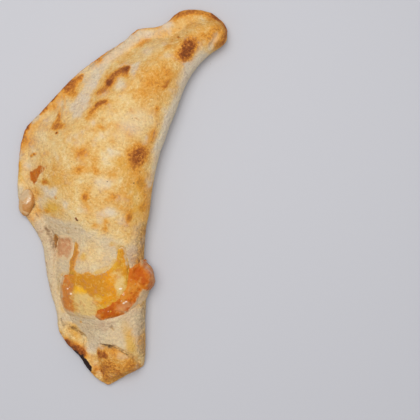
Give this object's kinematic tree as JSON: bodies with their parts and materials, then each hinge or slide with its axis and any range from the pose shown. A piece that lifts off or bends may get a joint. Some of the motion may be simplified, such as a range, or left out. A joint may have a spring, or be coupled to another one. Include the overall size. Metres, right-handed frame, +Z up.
{
  "type": "panzerotto",
  "caption": "Baked panzerotto: a crescent of folded dough with a crimped seam, a round knob end, a turned-up flap and a tear that shows melted cheese, tomato and ham.",
  "frame": {"origin": "middle of the base, at the centre of the object's box seen from above", "axes": "+Y along the crescent's chord from the flap end to the knob end, +X from the seam to the folded side, +Z up from the base"},
  "size_m": [0.1398, 0.2968, 0.0365],
  "materials": {
    "crust": "matte",
    "cheese": "satin",
    "tomato": "satin",
    "ham": "satin"
  },
  "bodies": {
    "root": {"dough": "crust", "cheese": "cheese", "tomato": "tomato", "ham": "ham", "seam_cheese": "cheese"}
  },
  "joints": []
}
